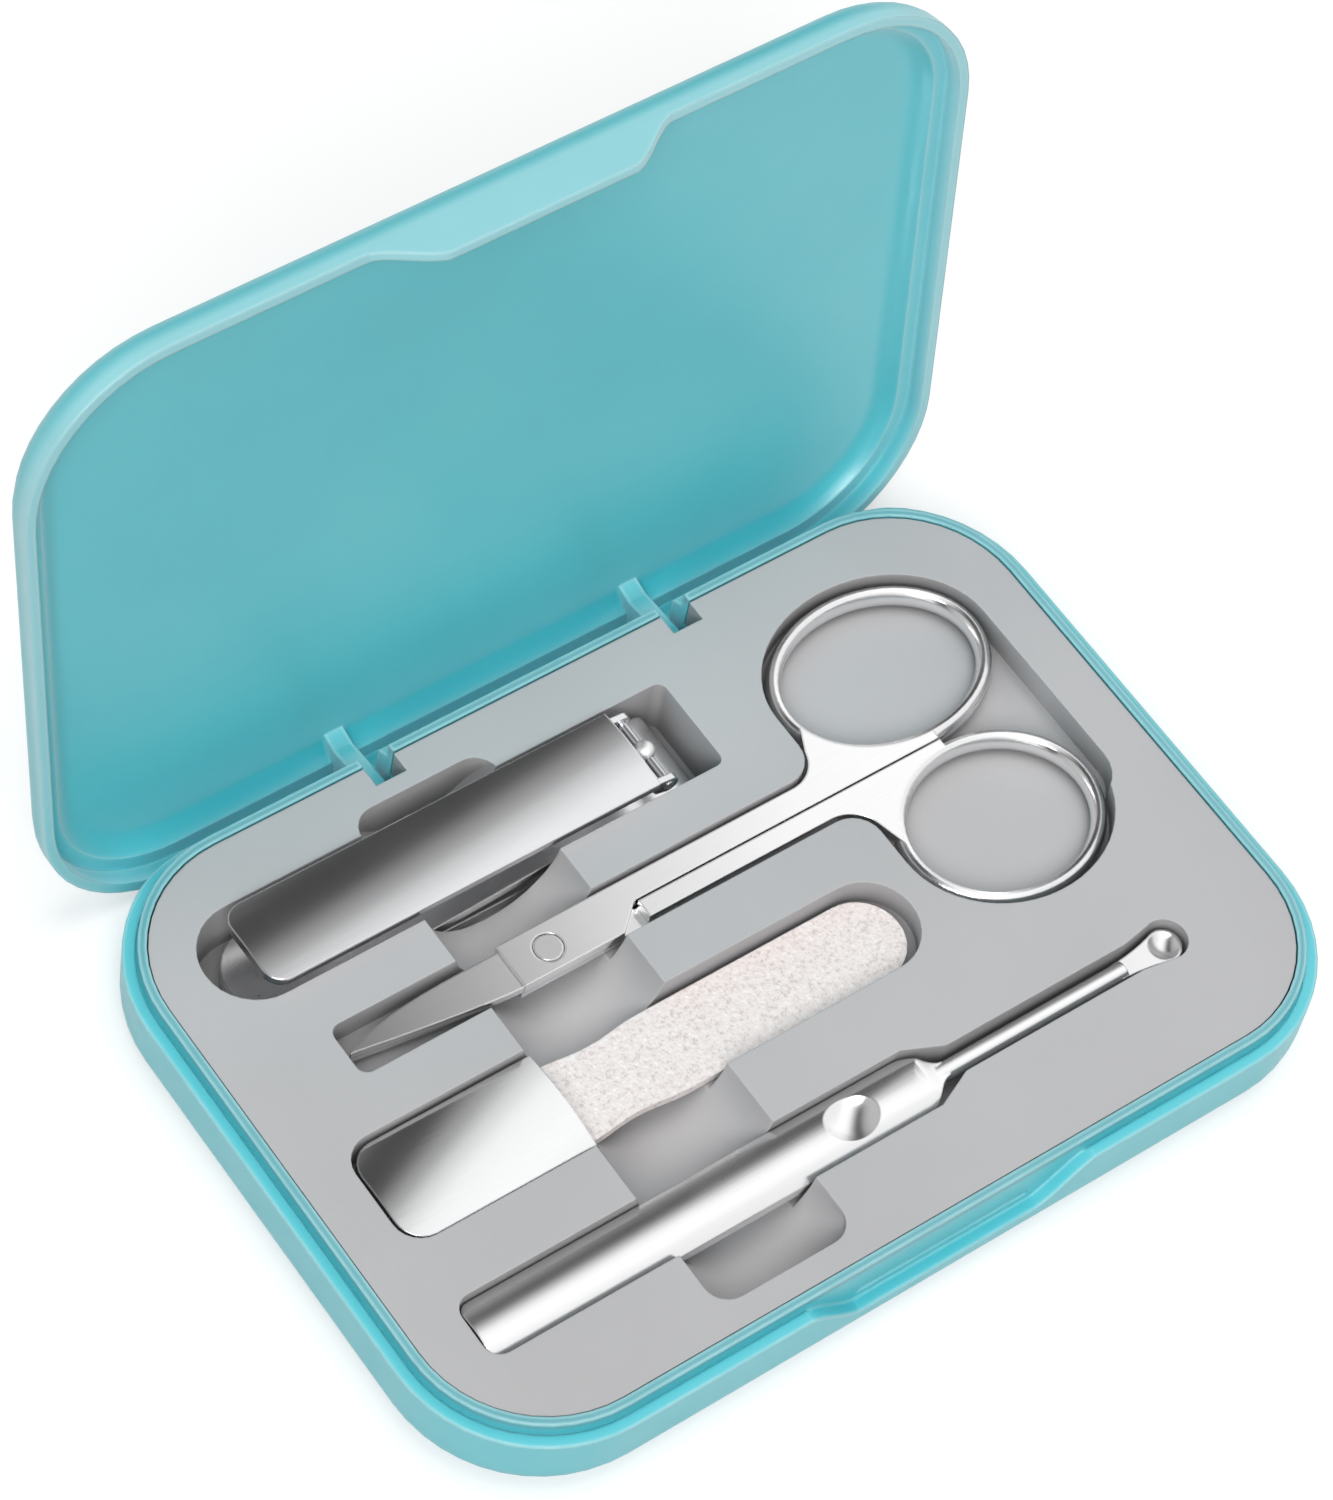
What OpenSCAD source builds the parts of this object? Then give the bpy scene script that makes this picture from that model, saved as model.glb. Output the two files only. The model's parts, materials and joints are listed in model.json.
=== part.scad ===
// Pocket manicure case: a shallow hinged box with a moulded tray that holds a nail clipper,
// nail scissors, a nail file and an ear pick.
// The origin is the centre of the base's underside. +X runs along the case towards the
// scissors' finger rings, +Y towards the hinge and +Z up. The lid is drawn open on its stop.

/* [Case] */
// Outer length of the closed case
case_l = 106.4; // [104:0.1:112]
// Outer width of the closed case, front to hinge side
case_w = 74.8; // [74:0.1:82]
// Corner radius of the case seen from above
case_corner_r = 16; // [13:0.5:18]
// Height of the base up to the seam with the lid
base_h = 8.5; // [8.3:0.1:10]
// Rounding under the base's outer wall
base_edge_r = 3.4; // [2.5:0.1:5.5]
// Thickness of the base's floor
floor_t = 1.5; // [1:0.1:1.8]
// Width of the ledge that the lid's rim sits over
ledge_w = 1.45; // [1.4:0.05:1.9]
// Thickness of the lip that stands up inside the lid
lip_t = 0.9; // [0.8:0.1:1.6]
// Height of the lip over the seam
lip_h = 1.7; // [1:0.1:1.9]
// Width and depth of the shadow groove at the lip's foot
groove = 0.2; // [0.1:0.1:0.5]

/* [Lid] */
// Height of the lid from the seam to its flat top
lid_h = 4.9; // [4.7:0.1:7]
// Rounding over the lid's outer wall
lid_edge_r = 3.6; // [2:0.1:4]
// Thickness of the lid's panel
lid_panel_t = 1.3; // [1:0.1:1.4]
// Thickness of the lid's rim outside the lip
lid_rim_t = 1.15; // [1:0.05:1.15]
// Depth of the rabbet that clears the lip
rabbet_h = 2; // [2:0.1:2.4]
// Rounding between the lid's panel and its wall, inside
lid_inner_r = 3; // [2:0.1:3.2]
// Angle from closed to the open stop
lid_open = 97; // [90:1:100]

/* [Latch tab] */
// Width of the tab where it leaves the lid's rim
tab_root_w = 33.5; // [26:0.5:36]
// Width of the tab's lower edge
tab_tip_w = 20.5; // [14:0.5:22]
// How far the tab hangs below the seam
tab_drop = 3.8; // [2.5:0.1:4]
// Thickness of the tab
tab_t = 1; // [0.8:0.05:1.05]
// Free space round the tab in its recess
tab_gap = 0.25; // [0.2:0.05:0.4]
// How far the catch bead stands out of the tab
catch_r = 0.25; // [0.15:0.05:0.25]

/* [Hinge] */
// Distance from the middle of the case to each hinge
hinge_x = 18; // [17:0.5:24]
// Distance of the hinge axis from the rear wall's outer face
hinge_inset = 3; // [2.9:0.1:3.4]
// Depth of the hinge axis under the seam
hinge_drop = 4.3; // [4.2:0.1:4.5]
// Radius of the hinge pins
pin_r = 0.75; // [0.6:0.05:0.8]
// Length of the hinge pins
pin_l = 9; // [8:0.5:10]
// Radius of the knuckle at the end of each lid arm
knuckle_r = 1.6; // [1.5:0.05:1.65]
// Width of each lid arm
arm_w = 2.2; // [1.6:0.1:2.8]
// Width of the slot that each arm swings in
arm_slot_w = 3.6; // [3.4:0.1:4]
// Width of the boss that holds a hinge pin
boss_w = 10; // [9:0.5:11]

/* [Tray] */
// Height of the tray's top face over the underside of the case
tray_top = 10; // [9.9:0.1:10.1]
// Gap between the tray and the base's lip
tray_gap = 0.15; // [0.1:0.05:0.4]
// Middle of the finger trough along the case
trough_x = -16.3; // [-18:0.1:-15]
// Width of the finger trough at the tray's top face
trough_w = 16; // [13:0.5:17]
// Depth of the finger trough
trough_depth = 6.4; // [5:0.1:6.8]
// Distance of the finger trough's front end from the case's front
trough_front_inset = 5.2; // [5:0.1:8]
// Distance of the finger trough's rear end from the case's rear
trough_rear_inset = 6.6; // [6.4:0.1:7.4]
// Rounding of the trough's corners seen from above
trough_corner_r = 2.6; // [1:0.1:3]
// Side clearance round a tool in its pocket
pocket_gap = 0.4; // [0.35:0.05:0.5]
// Clearance under a tool in its pocket
seat_gap = 0.15; // [0.1:0.05:0.3]

/* [Nail clipper] */
// Length of the clipper from tail to cutting edge
clip_l = 52.3; // [50:0.1:53]
// Width of the clipper's arms
clip_w = 9.8; // [9:0.1:10]
// Place of the cutting edge along the case
clip_edge_x = 9.3; // [9:0.1:9.6]
// Distance of the clipper's middle line from the case's rear
clip_inset = 14.7; // [14.6:0.1:14.8]
// Height of the lower arm's underside over the case's underside
clip_z = 3.3; // [3.2:0.1:3.5]
// Thickness of each arm
arm_t = 1; // [0.8:0.05:1.05]
// Distance from the cutting edge to the post
post_inset = 3.7; // [3.5:0.1:4]
// Rise of the upper arm at the post
arm_rise = 2.1; // [1.8:0.1:2.3]
// Opening between the two cutting edges
jaw_gap = 1.2; // [0.9:0.1:1.4]
// Radius of the post's shank
post_r = 0.9; // [0.8:0.05:1]
// Radius of the ball at the top of the post
post_head_r = 1.15; // [1.05:0.05:1.2]
// Radius of the cross pin that the lever turns on
cross_pin_r = 0.5; // [0.4:0.05:0.55]
// Length of the lever from its tip to its square end
lever_l = 45.4; // [40:0.1:46]
// Width of the lever
lever_w = 9.7; // [8:0.1:10]
// Thickness of the lever's plate at its edges
lever_t = 0.9; // [0.7:0.05:1]
// Crown of the lever across its width
lever_crown = 0.45; // [0.2:0.05:0.5]
// Free height between the tray's top face and the lever
lever_gap = 0.3; // [0.25:0.05:0.35]

/* [Scissors] */
// Place of the scissors' rivet along the case
rivet_x = -15.5; // [-16:0.1:-15]
// Middle line of the scissors across the case
scissors_y = 8.8; // [8.7:0.1:8.9]
// Thickness of each half at the rivet
half_t = 1.3; // [1:0.05:1.35]
// Length from the rivet to the blades' tips
blade_l = 22.9; // [20:0.1:23]
// How much thinner the blades are than the plates at the rivet
blade_step = 0.35; // [0.1:0.05:0.5]
// Length from the rivet to the middle of the rings
ring_reach = 47.8; // [46:0.1:48]
// Half length of the rear ring's outline
rear_ring_rx = 12.6; // [11.5:0.1:12.8]
// Half width of the rear ring's outline
rear_ring_ry = 9.8; // [9:0.1:9.9]
// Half length of the front ring's outline
front_ring_rx = 11.5; // [10.5:0.1:12.6]
// Half width of the front ring's outline
front_ring_ry = 10.1; // [9:0.1:10.2]
// Width of the bar that forms a ring
bar_w = 1.7; // [1.4:0.1:2.2]
// Height of the bar that forms a ring
bar_h = 2.7; // [2.2:0.1:2.9]
// Width of the rear half's shank
shank_w = 2.7; // [2:0.1:2.8]
// Radius of the rivet's shank
rivet_r = 1; // [0.8:0.05:1.1]
// Radius of the rivet's heads
rivet_head_r = 1.5; // [1.3:0.05:1.7]

/* [Nail file] */
// Middle line of the file across the case
file_y = -5.8; // [-6:0.1:-5.7]
// Left end of the file's handle along the case
file_x = -45; // [-45.2:0.1:-44.5]
// Length of the polished handle
handle_l = 21.2; // [18:0.1:21.5]
// Width of the polished handle
handle_w = 11.4; // [10:0.1:11.6]
// Thickness of the polished handle at its middle
handle_t = 3.9; // [3:0.1:4]
// Whole length of the file
file_l = 61.6; // [55:0.1:62]
// Width of the abrasive blade
blade_w = 9.4; // [8:0.1:9.8]
// Thickness of the abrasive blade
blade_t = 1; // [0.7:0.05:1.2]
// How far the blade is drawn in at the neck, each side
neck_in = 0.5; // [0.2:0.05:0.8]

/* [Ear pick] */
// Distance of the ear pick's middle line from the case's front
pick_inset = 15.3; // [15.1:0.1:15.4]
// Left end of the ear pick along the case
pick_x = -45.1; // [-45.2:0.1:-44.2]
// Width of the pressed handle
pick_w = 6.6; // [6:0.1:6.7]
// Thickness of the pressed handle at its middle
pick_t = 3.9; // [3.4:0.1:4.4]
// Crown of the pressed handle's upper and lower face
pick_crown = 1.3; // [0.8:0.1:1.5]
// How far the pressed handle stands over the tray's top face
pick_rise = 0.1; // [0:0.05:0.15]
// Length of the pressed handle
pick_handle_l = 51; // [45:0.5:52]
// Whole length of the ear pick
pick_l = 84.2; // [80:0.1:84.4]
// Radius of the thin shaft
pick_shaft_r = 1.05; // [0.7:0.05:1.1]
// Side clearance round the pressed handle in its pocket
pick_gap = 0.2; // [0.15:0.05:0.3]
// Radius of the bowl at the tip
bowl_r = 1.9; // [1.5:0.05:2]
// Distance of the thumb dimple from the left end
dimple_x = 43.6; // [38:0.1:45]
// Depth of the thumb dimple
dimple_depth = 1.3; // [0.6:0.1:1.5]

/* [Hidden] */

shell_colour = [0.45, 0.76, 0.80];
tray_colour = [0.74, 0.75, 0.76];
steel_colour = [0.80, 0.81, 0.83];
grit_colour = [0.92, 0.90, 0.89];

// Small clearances of the fits, and the overshoot of a cut
slip = 0.02;
running = 0.06;
face_gap = 0.1;
seam_gap = 0.05;
loose = 0.3;
over = 1;

// Smoothness of the case's corners and of small round details
case_steps = 12;
edge_steps = 6;
end_steps = 16;
ring_steps = 54;
fine = 48;

// Plan sizes of the case, from outside to inside
lip_l = case_l - 2 * ledge_w;
lip_w = case_w - 2 * ledge_w;
lip_corner_r = case_corner_r - ledge_w;
cavity_l = lip_l - 2 * lip_t;
cavity_w = lip_w - 2 * lip_t;
cavity_corner_r = lip_corner_r - lip_t;
tray_l = cavity_l - 2 * tray_gap;
tray_w = cavity_w - 2 * tray_gap;
tray_corner_r = cavity_corner_r - tray_gap;
// The tray's foot is drawn in so that it clears the rounding inside the base
tray_foot_in = 3;
tray_foot_h = 1.5;
cavity_edge_r = 2;

// Places across the case that follow its width
trough_front_y = trough_front_inset - case_w / 2;
trough_rear_y = case_w / 2 - trough_rear_inset;
clip_y = case_w / 2 - clip_inset;
pick_y = pick_inset - case_w / 2;

// Hinge axis, and the round relief behind it that lets the lid's rim swing past
hinge_y = case_w / 2 - hinge_inset;
hinge_z = base_h - hinge_drop;
lid_rim_inner = case_w / 2 - lid_rim_t;
relief_r = norm([lid_rim_inner - hinge_y, hinge_drop]) - 4 * face_gap;
slot_clearance = 0.65;
boss_wall = 1.05;
arm_slot_floor = hinge_z - knuckle_r - slot_clearance;
boss_front_y = hinge_y - 2 * pin_r;
boss_top = hinge_z + pin_r + boss_wall;

// Pocket floors
rivet_head_t = 0.25;
post_foot_t = 0.6;
clip_floor = clip_z - rivet_head_t - slip - seat_gap;
jaw_floor = clip_z - post_foot_t - face_gap - seat_gap;
// Free length of the clipper's pocket past the jaws, and past the tail for a finger
jaw_room = 2.4;
tail_room = 2.8;

// Clipper places along the case
clip_tail_x = clip_edge_x - clip_l;
tail_rivet_x = clip_tail_x + clip_w / 2 + 2;
tail_rivet_r = 0.9;
post_x = clip_edge_x - post_inset;
tail_r = clip_w / 2;
arm_split_z = clip_z + arm_t + face_gap;
upper_top = arm_split_z + arm_t + arm_rise;
cross_z = tray_top - 0.7;
ear_r = 1.05;
ear_t = 0.7;
ear_inset = 0.35;
lever_corner_r = 2.2;
jaw_curl = 2.6;
jaw_taper = 0.4;
post_foot_r = 2;
lever_z = tray_top + lever_gap;
lever_end_x = post_x - 1.6;
ball_z = cross_z + 0.2;
pin_overhang = 0.1;

// Scissors heights
scissors_z = 6.75;
blade_gap_z = scissors_z + half_t;
scissors_top = blade_gap_z + face_gap + half_t;
ring_z = scissors_top - bar_h / 2;
ring_x = rivet_x + ring_reach;
ring_mid_gap = 0.25;
ring_gap = pocket_gap + 0.1;
slot_floor = scissors_z - seat_gap;
ring_floor = ring_z - bar_h / 2 - seat_gap;
plate_half_w = 2.6;
plate_end = 10.6;
plate_back = 4.4;
plate_lap = 3.2;
front_shank_w = 2.2;
neck_r = 3.2;

// File heights
handle_z = tray_top - 0.15 - handle_t;
blade_z = handle_z + 0.75;
tongue_l = 9;
handle_crown = 0.7;
handle_corner_r = 3;
neck_l = 12;

// Ear pick height, and the shape of its neck and tip
pick_z = tray_top + pick_rise - pick_t / 2;
pick_floor = pick_z - pick_t / 2 - seat_gap;
pick_corner_r = 1.8;
pick_neck_l = 4.2;
scoop_t = 1.1;
scoop_flare = 6;

// Points on an arc of an ellipse with half axes rx and ry, from angle a to angle b
function arc(cx, cy, rx, ry, a, b, n) =
    [for (i = [0:n]) let (t = a + (b - a) * i / n) [cx + rx * cos(t), cy + ry * sin(t)]];

// Outline of a rounded rectangle centred on the origin
function rounded(l, w, r, n = case_steps) = concat(
    arc(l / 2 - r, w / 2 - r, r, r, 0, 90, n),
    arc(r - l / 2, w / 2 - r, r, r, 90, 180, n),
    arc(r - l / 2, r - w / 2, r, r, 180, 270, n),
    arc(l / 2 - r, r - w / 2, r, r, 270, 360, n));

// Outline from x0 to x1 about the line y, with corners of radius r at its left end only
function tongue(x0, x1, y, w, r) = concat(
    arc(x0 + r, y + w / 2 - r, r, r, 90, 180, edge_steps),
    arc(x0 + r, y - w / 2 + r, r, r, 180, 270, edge_steps),
    [[x1, y - w / 2], [x1, y + w / 2]]);

module slab(points, z0, z1) {
    translate([0, 0, z0]) linear_extrude(z1 - z0) polygon(points);
}

// Solid extruded along Y from y0 to y1, its outline given in X and Z
module across(points, y0, y1) {
    translate([0, y1, 0]) rotate([90, 0, 0]) linear_extrude(y1 - y0) polygon(points);
}

// Solid extruded along X from x0 to x1, its outline given in Y and Z
module along(points, x0, x1) {
    translate([x0, 0, 0]) rotate([90, 0, 90]) linear_extrude(x1 - x0) polygon(points);
}

module rod_x(x0, x1, y, z, r) {
    translate([x0, y, z]) rotate([0, 90, 0]) cylinder(r = r, h = x1 - x0, $fn = fine);
}

module rod_z(x, y, z0, z1, r) {
    translate([x, y, z0]) cylinder(r = r, h = z1 - z0, $fn = fine);
}

// Rounded rectangular dish body of height h, its lower outer edge rounded by r
module dish(l, w, corner_r, h, r) {
    foot = concat([[0, 0]], arc(corner_r - r, r, r, r, 270, 360, edge_steps), [[corner_r, h], [0, h]]);
    hull() for (sx = [-1, 1], sy = [-1, 1])
        translate([sx * (l / 2 - corner_r), sy * (w / 2 - corner_r), 0])
            rotate_extrude($fn = 4 * case_steps) polygon(foot);
}

// Share of the tab's drop at the share s of the way along its slanting side
function tab_slope(s) = 0.45 * s + 0.55 * s * s * (3 - 2 * s);

// Outline of the latch tab in X and Z, grown by g
function tab_outline(g) =
    let (root = tab_root_w / 2 + g, tip = tab_tip_w / 2 + g,
        side = [for (i = [0:end_steps]) let (s = i / end_steps)
            [root - (root - tip) * s, base_h - (tab_drop + g) * tab_slope(s)]])
    concat([[-root, base_h + over]], [for (p = side) [-p[0], p[1]]],
        [for (i = [end_steps:-1:0]) side[i]], [[root, base_h + over]]);

// Base shell: a rounded dish with a lip, pin bosses, arm slots and the latch recess

module base_body() {
    difference() {
        union() {
            dish(case_l, case_w, case_corner_r, base_h, base_edge_r);
            slab(rounded(lip_l, lip_w, lip_corner_r), base_h - over, base_h + lip_h);
        }
        translate([0, 0, floor_t])
            dish(cavity_l, cavity_w, cavity_corner_r, base_h + lip_h, cavity_edge_r);
    }
    for (s = [-1, 1])
        translate([s * hinge_x - boss_w / 2, boss_front_y, floor_t - over / 2])
            cube([boss_w, hinge_inset, boss_top - floor_t + over / 2]);
}

module base_shell() {
    color(shell_colour) difference() {
        base_body();
        difference() {
            slab(rounded(lip_l + 2 * groove, lip_w + 2 * groove, lip_corner_r + groove),
                base_h - groove, base_h + over);
            slab(rounded(lip_l, lip_w, lip_corner_r), base_h - over, base_h + 2 * over);
        }
        across(tab_outline(tab_gap), -case_w, -lip_w / 2);
        across([[-tab_tip_w / 2, base_h - 2.2 * tab_t], [tab_tip_w / 2, base_h - 2.2 * tab_t],
            [tab_tip_w / 2, base_h - 3.2 * tab_t], [-tab_tip_w / 2, base_h - 3.2 * tab_t]],
            -case_w, catch_r - lip_w / 2);
        difference() {
            translate([-case_l / 2, hinge_y, hinge_z]) cube([case_l, case_w, case_w]);
            rod_x(-case_l, case_l, hinge_y, hinge_z, relief_r);
            slab(rounded(lip_l, lip_w, lip_corner_r), 0, 2 * tray_top);
        }
        for (s = [-1, 1]) {
            translate([s * hinge_x - arm_slot_w / 2, hinge_y - knuckle_r - 2 * face_gap, arm_slot_floor])
                cube([arm_slot_w, case_w, case_w]);
            rod_x(s * hinge_x - boss_w / 2 - over, s * hinge_x + boss_w / 2 + over,
                hinge_y, hinge_z, pin_r + slip);
        }
    }
}

// Tray insert: a moulded block with one pocket per tool and a finger trough across them

module tray_block() {
    slab(rounded(tray_l, tray_w, tray_corner_r), floor_t + tray_foot_h, tray_top);
    slab(rounded(tray_l - 2 * tray_foot_in, tray_w - 2 * tray_foot_in, tray_corner_r - tray_foot_in),
        floor_t, floor_t + tray_foot_h + over);
}

module clipper_pocket() {
    w = clip_w + 2 * pocket_gap + 2 * loose;
    y = clip_y + loose - face_gap;
    end = clip_edge_x + jaw_room;
    left = clip_tail_x - tail_room;
    r = 1;
    corners = concat(arc(end - r, y - w / 2 + r, r, r, 270, 360, edge_steps),
        arc(end - r, y + w / 2 - r, r, r, 0, 90, edge_steps));
    slab(concat(corners, arc(left + w / 2, y, w / 2, w / 2, 90, 270, end_steps)),
        clip_floor, tray_top + over);
    slab(concat(corners, [[post_x - jaw_room, y + w / 2], [post_x - jaw_room, y - w / 2]]),
        jaw_floor, tray_top + over);
}

module scissors_pocket() {
    left = rivet_x - blade_l - pocket_gap - pick_gap;
    right = ring_x + rear_ring_rx + ring_gap;
    front = scissors_y - plate_half_w - pocket_gap;
    rear = scissors_y + shank_w + pocket_gap;
    end_r = 1.2;
    wall_r = 4;
    rear_y = scissors_y + ring_offset(rear_ring_ry);
    front_y = scissors_y - ring_offset(front_ring_ry);
    slab(concat(arc(left + end_r, rear - end_r, end_r, end_r, 90, 180, edge_steps),
        arc(left + end_r, front + end_r, end_r, end_r, 180, 270, edge_steps),
        [[ring_x, front], [ring_x, rear]]), slot_floor, tray_top + over);
    slab(arc(ring_x, rear_y, rear_ring_rx + ring_gap, rear_ring_ry + ring_gap, 0, 360, ring_steps),
        ring_floor, tray_top + over);
    slab(arc(ring_x, front_y, front_ring_rx + ring_gap, front_ring_ry + ring_gap, 0, 360, ring_steps),
        ring_floor, tray_top + over);
    slab(concat(arc(right - wall_r, rear_y, wall_r, wall_r, 0, 90, edge_steps),
        [[ring_x - front_ring_rx, rear_y], [ring_x - front_ring_rx, front_y]],
        arc(right - wall_r, front_y, wall_r, wall_r, -90, 0, edge_steps)),
        ring_floor, tray_top + over);
    for (side = [[rear, 1, rear_ring_rx, rear_y], [front, -1, front_ring_rx, front_y]]) {
        ring_left = ring_x - side[2] - ring_gap;
        slab(concat([[ring_left + neck_r, side[0] - side[1] * over]],
            arc(ring_left - neck_r, side[0] + side[1] * neck_r, neck_r, neck_r,
                -90 * side[1], 0, edge_steps),
            [[ring_left, side[3]], [ring_left + neck_r, side[3]]]), slot_floor, tray_top + over);
    }
}

module file_pocket() {
    g = pocket_gap;
    x_end = file_x + file_l + 3 * g;
    w = blade_w + 2 * g + loose;
    slab(tongue(file_x - g, file_x + handle_l + g, file_y, handle_w + 2 * g, handle_corner_r),
        handle_z - seat_gap, tray_top + over);
    slab(concat([[file_x + handle_l / 2, file_y + w / 2], [file_x + handle_l / 2, file_y - w / 2]],
        arc(x_end - w / 2, file_y, w / 2, w / 2, -90, 90, end_steps)), blade_z - seat_gap, tray_top + over);
}

module pick_pocket() {
    half = pick_w / 2 + pick_gap;
    slot = pick_shaft_r + pocket_gap + pick_gap;
    bowl = bowl_r + pocket_gap;
    r = pick_corner_r;
    left = pick_x - pick_gap + r;
    neck_x = pick_x + pick_handle_l + over;
    neck_end = neck_x + pick_neck_l;
    tip = pick_x + pick_l - bowl_r;
    flare_x = tip - scoop_flare / 2;
    slab(concat(
        arc(left, pick_y + half - r, r, r, 90, 180, edge_steps),
        arc(left, pick_y - half + r, r, r, 180, 270, edge_steps),
        [[neck_x, pick_y - half], [neck_end, pick_y - slot], [flare_x, pick_y - slot]],
        [[flare_x, pick_y + slot], [neck_end, pick_y + slot], [neck_x, pick_y + half]]),
        pick_floor, tray_top + over);
    slab(concat([[flare_x - over, pick_y + slot], [flare_x - over, pick_y - slot]],
        arc(tip, pick_y, bowl, bowl, -110, 110, end_steps)), pick_floor, tray_top + over);
}

module finger_trough() {
    half = trough_w / 2;
    r = (half * half + trough_depth * trough_depth) / (2 * trough_depth);
    rr = max(r, half + 0.1);
    lift = rr - trough_depth;
    intersection() {
        translate([trough_x, 0, tray_top + lift]) rotate([90, 0, 0])
            cylinder(r = rr, h = case_w, center = true, $fn = fine);
        translate([trough_x, (trough_front_y + trough_rear_y) / 2, 0])
            slab(rounded(trough_w, trough_rear_y - trough_front_y, trough_corner_r, edge_steps),
                0, tray_top + over);
    }
}

module tray_insert() {
    color(tray_colour) difference() {
        tray_block();
        clipper_pocket();
        scissors_pocket();
        file_pocket();
        pick_pocket();
        finger_trough();
        for (s = [-1, 1]) {
            translate([s * hinge_x - arm_slot_w / 2, hinge_y - knuckle_r - 2 * face_gap, 0])
                cube([arm_slot_w, case_w, case_w]);
            translate([s * hinge_x - boss_w / 2 - tray_gap, boss_front_y - tray_gap, 0])
                cube([boss_w + 2 * tray_gap, case_w, boss_top + tray_gap]);
        }
    }
}

// Lid: drawn closed, then swung about the hinge axis to its open stop

module lid_arm() {
    top = base_h + lid_h - lid_panel_t;
    wall = case_w / 2 - lid_rim_t / 2;
    difference() {
        union() {
            rod_x(-arm_w / 2, arm_w / 2, hinge_y, hinge_z, knuckle_r);
            along([[hinge_y - knuckle_r, hinge_z], [hinge_y + knuckle_r, hinge_z],
                [hinge_y + knuckle_r, base_h], [wall, base_h + 0.5], [wall, top],
                [hinge_y - knuckle_r - 0.8, top], [hinge_y - knuckle_r, tray_top + loose]],
                -arm_w / 2, arm_w / 2);
        }
        rod_x(-arm_w, arm_w, hinge_y, hinge_z, pin_r + running);
    }
}

module lid_tab() {
    y0 = -case_w / 2;
    across([for (p = tab_outline(0)) [p[0], min(p[1], base_h + rabbet_h / 2)]], y0, y0 + tab_t);
    intersection() {
        rod_x(-tab_tip_w / 2 + over, tab_tip_w / 2 - over, y0 + tab_t, base_h - 2.7 * tab_t, catch_r);
        translate([-case_l, y0 + tab_t / 2, 0]) cube([2 * case_l, tab_t, case_w]);
    }
}

module lid_closed() {
    top = base_h + lid_h;
    difference() {
        translate([0, 0, top]) mirror([0, 0, 1])
            dish(case_l, case_w, case_corner_r, lid_h - seam_gap, lid_edge_r);
        slab(rounded(case_l - 2 * lid_rim_t, case_w - 2 * lid_rim_t, case_corner_r - lid_rim_t),
            base_h - over, base_h + rabbet_h);
        translate([0, 0, top - lid_panel_t]) mirror([0, 0, 1])
            dish(cavity_l, cavity_w, cavity_corner_r, lid_h, lid_inner_r);
    }
    for (s = [-1, 1]) translate([s * hinge_x, 0, 0]) lid_arm();
    lid_tab();
}

module lid_shell() {
    color(shell_colour)
        translate([0, hinge_y, hinge_z]) rotate([-lid_open, 0, 0]) translate([0, -hinge_y, -hinge_z])
            lid_closed();
}

module hinge_pin(s) {
    color(steel_colour) rod_x(s * hinge_x - pin_l / 2, s * hinge_x + pin_l / 2, hinge_y, hinge_z, pin_r);
}

// Nail clipper: two sprung arms riveted at the tail, a turning post, and a lever on a cross pin

module arm_plan(z0, z1) {
    bow = 0.5;
    slab(concat(arc(clip_tail_x + tail_r, clip_y, tail_r, tail_r, 90, 270, end_steps),
        arc(clip_edge_x - bow, clip_y, bow, clip_w / 2, -90, 90, edge_steps)), z0, z1);
}

// Share of the upper arm's rise at the share s of its way from the tail to the post
function rise(s) = 0.48 * s + 0.52 * s * s * (3 - 2 * s);

// Side outlines of the two arms: flat at the tail, then parted and curled to the cutting edges
function lower_side() = let (z = clip_z, t = arm_t, x = clip_edge_x - jaw_curl, c = jaw_curl - jaw_taper,
    edge_z = arm_split_z + arm_rise / 2 - jaw_gap / 2) concat(
    [[clip_tail_x, z + t], [clip_tail_x, z], [x, z]],
    arc(x, edge_z, jaw_curl, edge_z - z, 270, 360, edge_steps),
    arc(x - jaw_taper, edge_z, c, edge_z - z - t, 360, 270, edge_steps));

function upper_side() = let (z = arm_split_z, t = arm_t, x = clip_edge_x - jaw_curl, r = arm_rise,
    c = jaw_curl - jaw_taper, edge_z = z + r / 2 + jaw_gap / 2,
    x0 = tail_rivet_x + 2 * tail_rivet_r, x1 = post_x - 4 * post_r) concat(
    [[clip_tail_x, z + t], [clip_tail_x, z], [x0, z]],
    [for (i = [1:end_steps]) let (s = i / end_steps) [x0 + (x1 - x0) * s, z + r * rise(s)]],
    arc(x - jaw_taper, edge_z, c, z + r - edge_z, 90, 0, edge_steps),
    arc(x, edge_z, jaw_curl, z + r + t - edge_z, 0, 90, edge_steps),
    [for (i = [end_steps:-1:1]) let (s = i / end_steps) [x0 + (x1 - x0) * s, z + t + r * rise(s)]]);

module clipper_arm(side, post_hole_r, tail_hole_r) {
    color(steel_colour) difference() {
        intersection() {
            across(side, clip_y - clip_w, clip_y + clip_w);
            arm_plan(0, tray_top);
        }
        rod_z(post_x, clip_y, 0, tray_top, post_hole_r);
        rod_z(tail_rivet_x, clip_y, 0, tray_top, tail_hole_r);
    }
}

module clipper_lower_arm() clipper_arm(lower_side(), post_r + running, tail_rivet_r + slip);

module clipper_upper_arm() clipper_arm(upper_side(), post_r + loose, tail_rivet_r + running);

module clipper_tail_rivet() {
    foot = clip_z - slip;
    head = arm_split_z + arm_t + face_gap;
    color(steel_colour) {
        rod_z(tail_rivet_x, clip_y, foot - rivet_head_t, head + rivet_head_t, tail_rivet_r);
        rod_z(tail_rivet_x, clip_y, foot - rivet_head_t, foot, rivet_head_r);
        rod_z(tail_rivet_x, clip_y, head, head + rivet_head_t, rivet_head_r);
    }
}

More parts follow.
